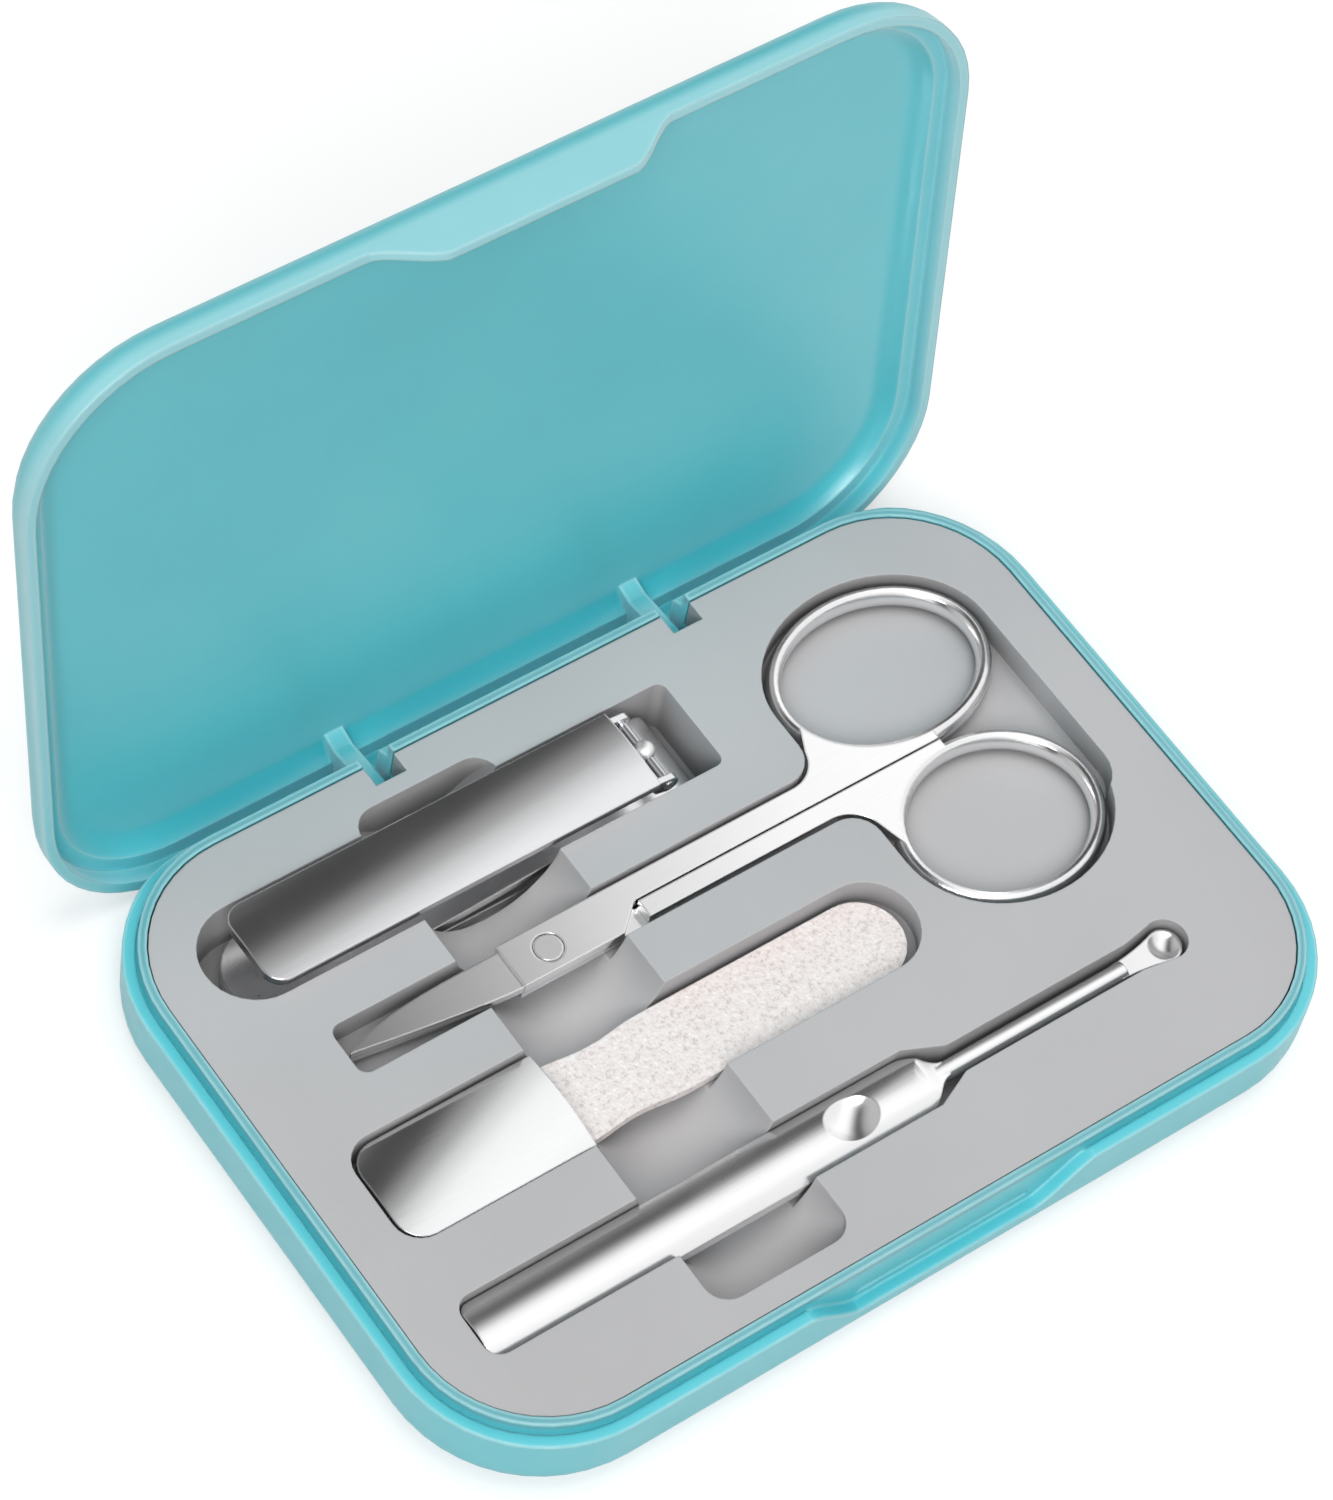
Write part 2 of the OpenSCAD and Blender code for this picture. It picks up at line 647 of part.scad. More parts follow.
module clipper_post() {
    foot = clip_z - face_gap;
    neck = asin(post_r / post_head_r);
    color(steel_colour) difference() {
        translate([post_x, clip_y, 0]) rotate_extrude($fn = fine) polygon(concat(
            [[0, foot - post_foot_t], [post_foot_r, foot - post_foot_t]],
            [[post_foot_r, foot], [post_r, foot]],
            arc(0, ball_z, post_head_r, post_head_r, neck - 90, 90, end_steps)));
        translate([post_x, clip_y, cross_z]) rotate([90, 0, 0])
            cylinder(r = cross_pin_r + running, h = 4 * post_head_r, center = true, $fn = fine);
    }
}

module lever_ear(s) {
    y0 = clip_y + s * (lever_w / 2 - ear_inset - ear_t / 2) - ear_t / 2;
    difference() {
        union() {
            translate([post_x, y0 + ear_t, cross_z]) rotate([90, 0, 0])
                cylinder(r = ear_r, h = ear_t, $fn = fine);
            across([[post_x, cross_z - ear_r], [post_x, cross_z + ear_r],
                [lever_end_x - ear_r, lever_z + lever_t / 2], [lever_end_x - ear_r, lever_z],
                [lever_end_x, cross_z - ear_r / 2]], y0, y0 + ear_t);
        }
        translate([post_x, clip_y, cross_z]) rotate([90, 0, 0])
            cylinder(r = cross_pin_r + slip, h = 2 * lever_w, center = true, $fn = fine);
    }
}

module clipper_lever() {
    half = lever_w / 2;
    crown_r = (half * half + lever_crown * lever_crown) / (2 * lever_crown);
    sweep = asin(half / crown_r);
    section = concat([[clip_y - half, lever_z], [clip_y + half, lever_z]],
        arc(clip_y, lever_z + lever_t + lever_crown - crown_r, crown_r, crown_r,
            90 - sweep, 90 + sweep, end_steps));
    color(steel_colour) {
        intersection() {
            along(section, lever_end_x - lever_l, lever_end_x);
            slab(tongue(lever_end_x - lever_l, lever_end_x, clip_y, lever_w, lever_corner_r),
                0, 2 * tray_top);
        }
        for (s = [-1, 1]) lever_ear(s);
    }
}

module clipper_cross_pin() {
    l = lever_w - 2 * ear_inset + 2 * pin_overhang;
    color(steel_colour) translate([post_x, clip_y, cross_z]) rotate([90, 0, 0])
        cylinder(r = cross_pin_r, h = l, center = true, $fn = fine);
}

// Scissors: two halves that cross at the rivet, each with a pointed blade and a finger ring

// Distance of a ring's middle from the scissors' middle line
function ring_offset(ry) = ry + ring_mid_gap;

// Bar of a finger ring: an oval section swept round an ellipse
module ring_bar(cx, cy, out_x, out_y) {
    sides = 12;
    rx = out_x - bar_w / 2;
    ry = out_y - bar_w / 2;
    points = [for (i = [0:ring_steps - 1], k = [0:sides - 1])
        let (t = 360 * i / ring_steps, a = 360 * k / sides, out = bar_w / 2 * cos(a))
        [cx + (rx + out) * cos(t), cy + (ry + out) * sin(t), ring_z + bar_h / 2 * sin(a)]];
    faces = [for (i = [0:ring_steps - 1], k = [0:sides - 1])
        let (a = i * sides + k, b = i * sides + (k + 1) % sides,
            c = ((i + 1) % ring_steps) * sides + (k + 1) % sides, d = ((i + 1) % ring_steps) * sides + k)
        each [[a, b, c], [a, c, d]]];
    polyhedron(points, faces, convexity = 4);
}

// Plan of a shank of width w and its web in the rivet's own frame, the ring of half axes rx and
// ry towards +Y. The web keeps one gap to the tray's neck, whose edge lies at the distance edge
function shank_points(w, rx, ry, edge) = let (r = neck_r + edge - w) concat(
    [[plate_end, face_gap], [ring_reach, face_gap]],
    arc(ring_reach, ring_offset(ry), rx - bar_w / 2, ry - bar_w / 2, 270, 192, end_steps),
    arc(ring_reach - rx - ring_gap - neck_r, edge + neck_r, r, r, -12, -90, end_steps),
    [[plate_end, w]]);

// Outline of a blade from its root to the tip at the height tip_y across. Its near and far edge
// each start at their own root and turn in towards the tip as the power near_bend or far_bend
function blade_edge(root_y, tip_y, bend) = [for (i = [0:2 * edge_steps]) let (s = i / (2 * edge_steps))
    [-plate_back - (blade_l - plate_back) * s, root_y + (tip_y - root_y) * pow(s, bend)]];

function blade_plan(near_y, near_bend, far_y, far_bend, tip_y) =
    let (near = blade_edge(near_y, tip_y, near_bend), far = blade_edge(far_y, tip_y, far_bend)) concat(
        [[loose - plate_back, near_y]], near, [for (i = [len(far) - 2:-1:0]) far[i]],
        [[loose - plate_back, far_y]]);

// A half drawn about the rivet with its ring towards +Y: a plate from height z0, its thinner
// blade from height blade_z0, the thick shank of width w, and the ring of half axes rx and ry
module scissor_half(z0, blade_z0, w, far_w, blade, rx, ry, edge) {
    slab([[plate_end - loose, face_gap], [plate_end + over, face_gap], [plate_end + over, w],
        [-plate_back, w], [-plate_back, face_gap - far_w], [plate_end - plate_lap, face_gap - far_w]],
        z0, z0 + half_t);
    slab(blade, blade_z0, blade_z0 + half_t - blade_step);
    slab(shank_points(w, rx, ry, edge), scissors_z, scissors_top);
    ring_bar(ring_reach, ring_offset(ry), rx, ry);
}

module rivet_holes() {
    rod_z(0, 0, 0, tray_top, rivet_r + running);
    rod_z(0, 0, scissors_top - rivet_head_t - face_gap, tray_top, rivet_head_r + face_gap);
    rod_z(0, 0, 0, scissors_z + rivet_head_t + face_gap, rivet_head_r + face_gap);
}

module scissors_rear_half() {
    color(steel_colour) translate([rivet_x, scissors_y, 0]) difference() {
        scissor_half(blade_gap_z + face_gap, blade_gap_z + face_gap, shank_w, plate_half_w,
            blade_plan(2.2, 4, -2.4, 1.3, 0.1),
            rear_ring_rx, rear_ring_ry, shank_w + pocket_gap);
        rivet_holes();
    }
}

module scissors_front_half() {
    color(steel_colour) translate([rivet_x, scissors_y, 0]) mirror([0, 1, 0]) difference() {
        scissor_half(scissors_z, scissors_z + blade_step, front_shank_w, shank_w,
            blade_plan(1.8, 1.4, -2.1, 4, -0.2),
            front_ring_rx, front_ring_ry, plate_half_w + pocket_gap);
        rivet_holes();
    }
}

module scissors_rivet() {
    color(steel_colour) translate([rivet_x, scissors_y, 0]) {
        rod_z(0, 0, scissors_z, scissors_top, rivet_r);
        rod_z(0, 0, scissors_z, scissors_z + rivet_head_t, rivet_head_r);
        rod_z(0, 0, scissors_top - rivet_head_t, scissors_top, rivet_head_r);
    }
}

// Nail file: an abrasive blade held in a crowned, polished handle

function file_half(x) = blade_w / 2
    - neck_in * pow(sin(180 * min(1, max(0, (x - handle_l) / neck_l))), 2);

module file_blade() {
    x0 = handle_l - tongue_l;
    end_r = blade_w / 2;
    n = 10;
    xs = [for (i = [0:n]) handle_l + neck_l * i / n];
    color(grit_colour) translate([file_x, file_y, 0]) slab(concat(
        [[x0, end_r], [x0, -end_r]],
        [for (x = xs) [x, -file_half(x)]],
        arc(file_l - end_r, 0, end_r, end_r, -90, 90, end_steps),
        [for (i = [n:-1:0]) [xs[i], file_half(xs[i])]]), blade_z, blade_z + blade_t);
}

module file_handle() {
    half = handle_w / 2;
    crown_r = (half * half + handle_crown * handle_crown) / (2 * handle_crown);
    sweep = asin(half / crown_r);
    section = concat([[-half, handle_z], [half, handle_z]],
        arc(0, handle_z + handle_t - crown_r, crown_r, crown_r, 90 - sweep, 90 + sweep, end_steps));
    color(steel_colour) translate([file_x, file_y, 0]) difference() {
        intersection() {
            along(section, 0, handle_l);
            slab(tongue(0, handle_l, 0, handle_w, handle_corner_r), 0, 2 * tray_top);
        }
        translate([handle_l - tongue_l - slip, -blade_w / 2 - slip, blade_z - slip])
            cube([tongue_l + over, blade_w + 2 * slip, blade_t + 2 * slip]);
    }
}

// Ear pick: a pressed handle with a thumb dimple, a thin round shaft and a dished scoop

// Half size of the handle's neck at the share s of its way down to the shaft
function neck_half(size, s) = let (end = 0.8 * pick_shaft_r) end + (size / 2 - end) * (1 + cos(180 * s)) / 2;

module pick_handle() {
    half = pick_w / 2;
    crown_r = (half * half + pick_crown * pick_crown) / (2 * pick_crown);
    sweep = asin(half / crown_r);
    r = pick_corner_r - pick_gap;
    end_x = pick_handle_l + pick_neck_l;
    steps = [for (i = [0:end_steps]) i / end_steps];
    intersection() {
        along(concat(
            arc(0, pick_t / 2 - crown_r, crown_r, crown_r, 90 - sweep, 90 + sweep, end_steps),
            arc(0, crown_r - pick_t / 2, crown_r, crown_r, 270 - sweep, 270 + sweep, end_steps)), 0, end_x);
        slab(concat(
            arc(r, half - r, r, r, 90, 180, edge_steps), arc(r, r - half, r, r, 180, 270, edge_steps),
            [for (s = steps) [pick_handle_l + pick_neck_l * s, -neck_half(pick_w, s)]],
            [for (s = steps) [end_x - pick_neck_l * s, neck_half(pick_w, 1 - s)]]), -pick_t, pick_t);
        across(concat(
            [[-over, pick_t / 2], [-over, -pick_t / 2]],
            [for (s = steps) [pick_handle_l + pick_neck_l * s, -neck_half(pick_t, s)]],
            [for (s = steps) [end_x - pick_neck_l * s, neck_half(pick_t, 1 - s)]]), -pick_w, pick_w);
    }
}

module pick_scoop() {
    tip = pick_l - bowl_r;
    root = tip - scoop_flare;
    root_half = 0.9 * pick_shaft_r;
    dish_r = 2.4;
    dish_depth = 0.55;
    widen = [for (i = [0:edge_steps]) let (s = i / edge_steps)
        [root + scoop_flare * s, root_half + (0.97 * bowl_r - root_half) * s * s]];
    difference() {
        intersection() {
            slab(concat(
                [for (p = widen) [p[0], -p[1]]],
                arc(tip, 0, bowl_r, bowl_r, -75, 75, end_steps),
                [for (i = [edge_steps:-1:0]) widen[i]]), -pick_t, pick_t);
            across([[root, -0.6 * scoop_t], [pick_l + over, -0.2 * scoop_t],
                [pick_l + over, 0.6 * scoop_t], [root, 0.5 * scoop_t]], -pick_w, pick_w);
        }
        translate([tip, 0, scoop_t / 2 + dish_r - dish_depth]) sphere(r = dish_r, $fn = fine);
    }
}

module ear_pick() {
    dimple_r = 4;
    color(steel_colour) translate([pick_x, pick_y, pick_z]) {
        difference() {
            pick_handle();
            translate([dimple_x, 0, pick_t / 2 - dimple_depth + dimple_r]) sphere(r = dimple_r, $fn = fine);
        }
        rod_x(pick_handle_l, pick_l - bowl_r - scoop_flare + over, 0, 0, pick_shaft_r);
        pick_scoop();
    }
}

base_shell();
tray_insert();
lid_shell();
hinge_pin(-1);  // hinge_pin_left
hinge_pin(1);  // hinge_pin_right
clipper_lower_arm();
clipper_upper_arm();
clipper_tail_rivet();
clipper_post();
clipper_lever();
clipper_cross_pin();
scissors_rear_half();
scissors_front_half();
scissors_rivet();
file_blade();
file_handle();
ear_pick();
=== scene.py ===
"""Manicure set case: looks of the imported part, with camera, light and floor."""
import json
import math

import bmesh
import bpy
from mathutils import Matrix, Vector

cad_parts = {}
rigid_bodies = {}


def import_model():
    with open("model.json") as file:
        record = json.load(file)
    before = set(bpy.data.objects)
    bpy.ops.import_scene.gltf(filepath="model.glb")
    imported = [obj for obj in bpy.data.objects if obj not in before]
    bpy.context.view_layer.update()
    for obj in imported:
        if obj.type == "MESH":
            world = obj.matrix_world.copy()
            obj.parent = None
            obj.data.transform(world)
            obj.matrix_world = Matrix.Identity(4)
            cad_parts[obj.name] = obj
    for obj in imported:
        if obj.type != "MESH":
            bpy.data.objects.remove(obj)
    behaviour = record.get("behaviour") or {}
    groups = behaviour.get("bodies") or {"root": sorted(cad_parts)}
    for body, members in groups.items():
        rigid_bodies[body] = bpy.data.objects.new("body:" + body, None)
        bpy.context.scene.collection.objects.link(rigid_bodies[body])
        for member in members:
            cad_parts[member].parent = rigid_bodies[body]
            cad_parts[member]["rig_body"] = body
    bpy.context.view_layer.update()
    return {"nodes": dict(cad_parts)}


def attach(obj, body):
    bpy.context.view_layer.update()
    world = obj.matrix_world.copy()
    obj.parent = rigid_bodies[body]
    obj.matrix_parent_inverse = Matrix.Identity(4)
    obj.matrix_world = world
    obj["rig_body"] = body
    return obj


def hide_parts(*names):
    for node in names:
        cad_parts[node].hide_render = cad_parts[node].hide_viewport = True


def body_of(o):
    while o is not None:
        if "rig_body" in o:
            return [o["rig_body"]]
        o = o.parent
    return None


MM = 0.001
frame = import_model()
NODES = frame["nodes"]

# Camera: rows are its right, up and back directions, then its place, all in the object's frame, and lens
CAMERA_AXES = (
    (0.81118937, -0.57224404, 0.12045152),
    (0.42413136, 0.71752838, 0.55250848),
    (-0.40259706, -0.39710174, 0.82475803),
)
CAMERA_PLACE = (-206.334 * MM, -189.390 * MM, 447.849 * MM)
CAMERA_LENS = 128.324
SENSOR_WIDTH = 36
CLIP_START = 0.01
CLIP_END = 50

# Colours, linear
TURQUOISE = (0.11, 0.61, 0.68, 1)
TURQUOISE_DEEP = (0.09, 0.565, 0.64, 1)
# Painted shade that crevices of the shells take, deeper and more saturated
TURQUOISE_SHADE = (0.05, 0.85, 0.90, 1)
# Painted highlight on the shells' edges and on the lid's rim
TURQUOISE_HIGHLIGHT = (0.42, 0.77, 0.82, 1)
# Painted shade on the base's lip
TURQUOISE_LIP_SHADE = (0.12, 0.295, 0.335, 1)
TRAY_GREY = (0.51, 0.502, 0.51, 1)
TRAY_GREY_DARK = (0.465, 0.457, 0.465, 1)
# Painted highlight on the tray's edges
TRAY_HIGHLIGHT = (0.60, 0.59, 0.60, 1)
# Painted shade that crevices of the tray take
TRAY_SHADE = (0.5, 0.5, 0.5, 1)
CHROME = (0.95, 0.95, 0.955, 1)
CHROME_SOFT = (0.87, 0.875, 0.88, 1)
CHROME_DULL = (0.80, 0.805, 0.815, 1)
PIN_STEEL = (0.66, 0.67, 0.69, 1)
GRIT = (0.87, 0.80, 0.78, 1)
GRIT_DARK = (0.66, 0.585, 0.565, 1)
GRIT_SPARK = (0.97, 0.95, 0.94, 1)
WHITE = (1, 1, 1, 1)
FLOOR_WHITE = (0.70, 0.70, 0.70, 1)
FLOOR_BOUNCE = (0.38, 0.38, 0.38, 1)

# Finish of the moulded plastics: roughness, refraction and reflection level, then in millimetres
# the depth of the grain, the rounding of edges, the width of their painted highlight, and how far
# the painted crevice shade looks for a wall
SHELL_FINISH = {
    "rough": 0.36, "index": 1.6, "gloss": 1.0,
    "grain": 0.02, "edge": 0.35, "highlight_width": 0.8, "reach": 6,
}
TRAY_FINISH = {
    "rough": 0.6, "index": 1.5, "gloss": 0.5,
    "grain": 0.03, "edge": 0.3, "highlight_width": 0.35, "reach": 5,
}
# Noises of the plastics, with their scale per metre and their detail: colour drift, patches of the
# painted edge highlight, haze in the gloss and moulded grain
DRIFT_SCALE = 35.0
DRIFT_DETAIL = 3.0
HIGHLIGHT_PATCH_SCALE = 300.0
HIGHLIGHT_PATCH_DETAIL = 4.0
HAZE_SCALE = 260.0
HAZE_DETAIL = 4.0
GRAIN_SCALE = 5200.0
GRAIN_DETAIL = 3.0
GRAIN_STRENGTH = 0.5
# Noise values at which the colour drift is darkest and lightest, and the painted edge highlight faintest and
# fullest
DRIFT_SPAN = (0.3, 0.7)
HIGHLIGHT_PATCH_SPAN = (0.35, 0.55)
# Share of the painted edge highlight that its faintest patches leave
HIGHLIGHT_PATCH_LEAST = 0.8
# How far haze makes a plastic smoother and rougher than its finish
HAZE_LESS = 0.05
HAZE_MORE = 0.07
# Share of a metal's roughness where it is wiped clean and where it is smeared
SMEAR_CLEAN = 0.8
SMEAR_DULL = 1.4
# Noises of the steel: wiping marks, and hairlines drawn out along the piece
SMEAR_SCALE = 90.0
SMEAR_DETAIL = 3.0
HAIR_SCALE = 420.0
HAIR_DETAIL = 5.0
HAIR_ROUGHNESS = 0.7
HAIR_STRETCH = (1.0, 22.0, 22.0)
HAIR_STRENGTH = 0.3
# Darker tone of the hairlines as a share of the metal's colour, and the noise values they lie between
HAIR_TONE = 0.95
HAIR_SPAN = (0.25, 0.75)
# Grit: its finish, the noise of its grains and the tones they take, then its lumps and rounded edge
GRIT_ROUGH = 0.8
GRIT_GLOSS = 0.25
GRIT_SCALE = 1900.0
GRIT_DETAIL = 4.0
GRIT_ROUGHNESS = 0.75
GRIT_STOPS = ((0.35, GRIT_DARK), (0.48, GRIT), (0.56, GRIT), (0.68, GRIT_SPARK))
LUMP_SCALE = 2400.0
LUMP_HEIGHT = 0.18 * MM
LUMP_STRENGTH = 0.9
GRIT_EDGE = 0.15 * MM

# Faces that meet at less than this angle are one smooth surface
SMOOTH_ANGLE = math.radians(28)
FLAT_ANGLE = math.radians(0.3)
MERGE_DISTANCE = 0.001 * MM
# Cosine of the turn of the rounded normal where the painted edge highlight is full, and where it ends
EDGE_FULL = 0.85
EDGE_NONE = 0.99
# Samples of rounded edges, of their painted highlight and of the painted crevice shade
EDGE_SAMPLES = 4
HIGHLIGHT_SAMPLES = 6
CREVICE_SAMPLES = 8
# Openness of a crevice at which its painted shade is full, and at which it ends
CREVICE_FULL = 0.1
CREVICE_NONE = 0.8
# Painted tone of the shells towards their seam, painted shade on the base's lip and a painted
# highlight on the lid's rim: a direction, two distances along it in millimetres and the tone, which the
# share mixes in
# Painted shade on the base's lip
BASE_LIP_SHADE = ((0.0, 0.0, 1.0), 9.0, 9.6, TURQUOISE_LIP_SHADE)
# Painted highlight on the lid's rim
LID_RIM_HIGHLIGHT = ((0.0, -0.9925, 0.14), -39.0, -37.6, TURQUOISE_HIGHLIGHT)
PAINTED_RIM_SHARE = 0.65

# What polished metal sees of the studio, from its rear left to its front right
STUDIO_STOPS = (
    (0.0, 0.45), (0.16, 0.35), (0.3, 0.06), (0.38, 0.07), (0.47, 0.35),
    (0.54, 0.72), (0.62, 0.95), (0.8, 1.0), (1.0, 0.8),
)
STUDIO_STRENGTH = 1.15
# Share of a direction to the front right, and what puts its middle at the middle of the stops
STUDIO_ACROSS = (0.5, -0.5, 0.0)
STUDIO_MIDDLE = 0.5
# Even light that everything else sees
FILL_STRENGTH = 0.33

# Floor: half its side, how far it lies under the case, its glow to the camera and to metal, and finish
FLOOR_HALF = 3.0
FLOOR_DROP = 0.02 * MM
FLOOR_GLOW = 0.42
FLOOR_ROUGH = 0.9
FLOOR_GLOSS = 0.1
# Lamps: place and size in metres, power in watts, and the point that they aim at
KEY_PLACE = (-0.62, -0.72, 0.95)
KEY_SIZE = 0.8
KEY_POWER = 10.0
TOP_PLACE = (0.15, 0.1, 1.35)
TOP_SIZE = 1.0
TOP_POWER = 7.0
LIGHT_TARGET = (0.0, 0.0, 0.02)


class Tree:
    """Short way to add, set and link the nodes of a material or a world."""

    def __init__(self, owner):
        owner.use_nodes = True
        self.owner = owner
        self.nodes = owner.node_tree.nodes
        self.links = owner.node_tree.links
        self.shader = self.nodes.get("Principled BSDF")

    def add(self, kind, **values):
        node = self.nodes.new(kind)
        for key, value in values.items():
            if hasattr(node, key):
                setattr(node, key, value)
            else:
                node.inputs[key.replace("_", " ")].default_value = value
        return node

    def link(self, source, target):
        self.links.new(source, target)

    def link_or_set(self, value, socket, plain_kind):
        """Write a value of the plain kind to a socket, or link an output to it."""
        if isinstance(value, plain_kind):
            socket.default_value = value
        else:
            self.link(value, socket)

    def set(self, **values):
        for key, value in values.items():
            self.shader.inputs[key.replace("_", " ")].default_value = value

    def place(self):
        return self.add("ShaderNodeTexCoord").outputs["Object"]

    def noise(self, scale, detail=2.0, vector=None, roughness=0.5):
        node = self.add("ShaderNodeTexNoise", Scale=scale, Detail=detail, Roughness=roughness)
        self.link(vector if vector else self.place(), node.inputs["Vector"])
        return node.outputs["Fac"]

    def ramp(self, fac, stops, interpolation="LINEAR"):
        node = self.add("ShaderNodeValToRGB")
        node.color_ramp.interpolation = interpolation
        elements = node.color_ramp.elements
        while len(elements) < len(stops):
            elements.new(0.5)
        for element, (at, colour) in zip(elements, stops):
            element.position = at
            element.color = colour
        self.link(fac, node.inputs["Fac"])
        return node.outputs["Color"]

    def span(self, fac, low, high, from_low=0.0, from_high=1.0):
        node = self.add("ShaderNodeMapRange", From_Min=from_low, From_Max=from_high, To_Min=low, To_Max=high)
        self.link(fac, node.inputs["Value"])
        return node.outputs["Result"]

    def math(self, operation, first, second):
        node = self.add("ShaderNodeMath", operation=operation)
        self.link_or_set(first, node.inputs[0], float)
        self.link_or_set(second, node.inputs[1], float)
        return node.outputs[0]

    def mix(self, fac, first, second, blend="MIX"):
        node = self.add("ShaderNodeMix", data_type="RGBA", blend_type=blend)
        self.link(fac, node.inputs["Factor"])
        self.link_or_set(first, node.inputs[6], tuple)
        self.link_or_set(second, node.inputs[7], tuple)
        return node.outputs[2]

    def choose(self, fac, first, second):
        """Second shader where the factor is 1, else the first."""
        node = self.add("ShaderNodeMixShader")
        self.link(fac, node.inputs["Fac"])
        self.link(first.outputs[0], node.inputs[1])
        self.link(second.outputs[0], node.inputs[2])
        return node

    def along(self, vector, direction):
        """Distance of a point, or share of a direction, along the given direction."""
        node = self.add("ShaderNodeVectorMath", operation="DOT_PRODUCT")
        self.link(vector, node.inputs[0])
        self.link_or_set(direction, node.inputs[1], tuple)
        return node.outputs["Value"]

    def soft_edges(self, radius, samples=EDGE_SAMPLES):
        return self.add("ShaderNodeBevel", samples=samples, Radius=radius).outputs["Normal"]

    def near_edges(self, radius):
        """From 0 on flat ground to 1 where a sharp edge lies well inside the radius."""
        face = self.add("ShaderNodeNewGeometry").outputs["True Normal"]
        turn = self.along(self.soft_edges(radius, HIGHLIGHT_SAMPLES), face)
        return self.span(turn, 1.0, 0.0, EDGE_FULL, EDGE_NONE)

    def bump(self, height, distance, strength=1.0, normal=None):
        node = self.add("ShaderNodeBump", Strength=strength, Distance=distance)
        self.link(height, node.inputs["Height"])
        if normal:
            self.link(normal, node.inputs["Normal"])
        return node.outputs["Normal"]

    def bowed(self, centre):
        """Height that falls away towards both ends of the piece from the share centre of its length."""
        split = self.add("ShaderNodeSeparateXYZ")
        self.link(self.add("ShaderNodeTexCoord").outputs["Generated"], split.inputs[0])
        off = self.math("SUBTRACT", split.outputs["X"], centre)
        return self.math("MULTIPLY", self.math("MULTIPLY", off, off), -1.0)


def moulded_plastic(name, colours, finish, painted_rim=None):
    """Injection-moulded plastic: slow colour drift, satin grain, rounded edges with a painted highlight,
    and painted shade in crevices.

    colours are its light and dark tone, the painted highlight on its edges and the painted shade in
    its crevices; the rim argument is a direction with the distances along it, in millimetres, over
    which a painted tone comes in near the seam, and that tone, a painted highlight or painted shade.
    """
    light, dark, highlight_tone, shade = colours
    tree = Tree(bpy.data.materials.new(name))
    drift = tree.noise(DRIFT_SCALE, DRIFT_DETAIL)
    colour = tree.ramp(drift, list(zip(DRIFT_SPAN, (dark, light))))
    # Painted rim tone, a painted highlight or painted shade, mixed in along a direction
    if painted_rim:
        direction, start, end, tone = painted_rim
        rim_paint = tree.span(tree.along(tree.place(), direction), 0.0, PAINTED_RIM_SHARE, start * MM, end * MM)
        colour = tree.mix(rim_paint, colour, tone)
    # Painted highlight on edges, broken into patches by noise
    highlight_patches = tree.span(tree.noise(HIGHLIGHT_PATCH_SCALE, HIGHLIGHT_PATCH_DETAIL), HIGHLIGHT_PATCH_LEAST, 1.0, *HIGHLIGHT_PATCH_SPAN)
    edge_highlight = tree.math("MULTIPLY", tree.near_edges(finish["highlight_width"] * MM), highlight_patches)
    colour = tree.mix(edge_highlight, colour, highlight_tone)
    # Painted shade: crevices darkened and tinted by ambient occlusion
    air = tree.add("ShaderNodeAmbientOcclusion", samples=CREVICE_SAMPLES, Distance=finish["reach"] * MM)
    crevice = tree.span(air.outputs["AO"], 1.0, 0.0, CREVICE_FULL, CREVICE_NONE)
    tree.link(tree.mix(crevice, colour, shade, "MULTIPLY"), tree.shader.inputs["Base Color"])
    haze = tree.noise(HAZE_SCALE, HAZE_DETAIL)
    rough = tree.span(haze, finish["rough"] - HAZE_LESS, finish["rough"] + HAZE_MORE)
    tree.link(rough, tree.shader.inputs["Roughness"])
    grain = tree.noise(GRAIN_SCALE, GRAIN_DETAIL)
    normal = tree.bump(grain, finish["grain"] * MM, GRAIN_STRENGTH, tree.soft_edges(finish["edge"] * MM))
    tree.link(normal, tree.shader.inputs["Normal"])
    tree.set(IOR=finish["index"], Specular_IOR_Level=finish["gloss"])
    return tree.owner


def steel(name, colour=CHROME, rough=0.08, brush=0.003, edge=0.25, bow=0.0, centre=0.5):
    """Plated steel: faint wiping marks in roughness, hairline scratches, and a slow bow from end to end.

    brush, edge and bow are in millimetres, centre is the share of the length where the bow is flat.
    """
    tree = Tree(bpy.data.materials.new(name))
    stretched = tree.add("ShaderNodeMapping", Scale=HAIR_STRETCH)
    tree.link(tree.place(), stretched.inputs["Vector"])
    hair = tree.noise(HAIR_SCALE, HAIR_DETAIL, stretched.outputs["Vector"], HAIR_ROUGHNESS)
    smear = tree.noise(SMEAR_SCALE, SMEAR_DETAIL)
    tree.link(tree.span(smear, rough * SMEAR_CLEAN, rough * SMEAR_DULL), tree.shader.inputs["Roughness"])
    dull = tuple(c * HAIR_TONE for c in colour[:3]) + (1,)
    tree.link(tree.ramp(hair, list(zip(HAIR_SPAN, (dull, colour)))), tree.shader.inputs["Base Color"])
    normal = tree.soft_edges(edge * MM)
    if bow:
        normal = tree.bump(tree.bowed(centre), bow * MM, 1.0, normal)
    tree.link(tree.bump(hair, brush * MM, HAIR_STRENGTH, normal), tree.shader.inputs["Normal"])
    tree.set(Metallic=1.0)
    return tree.owner


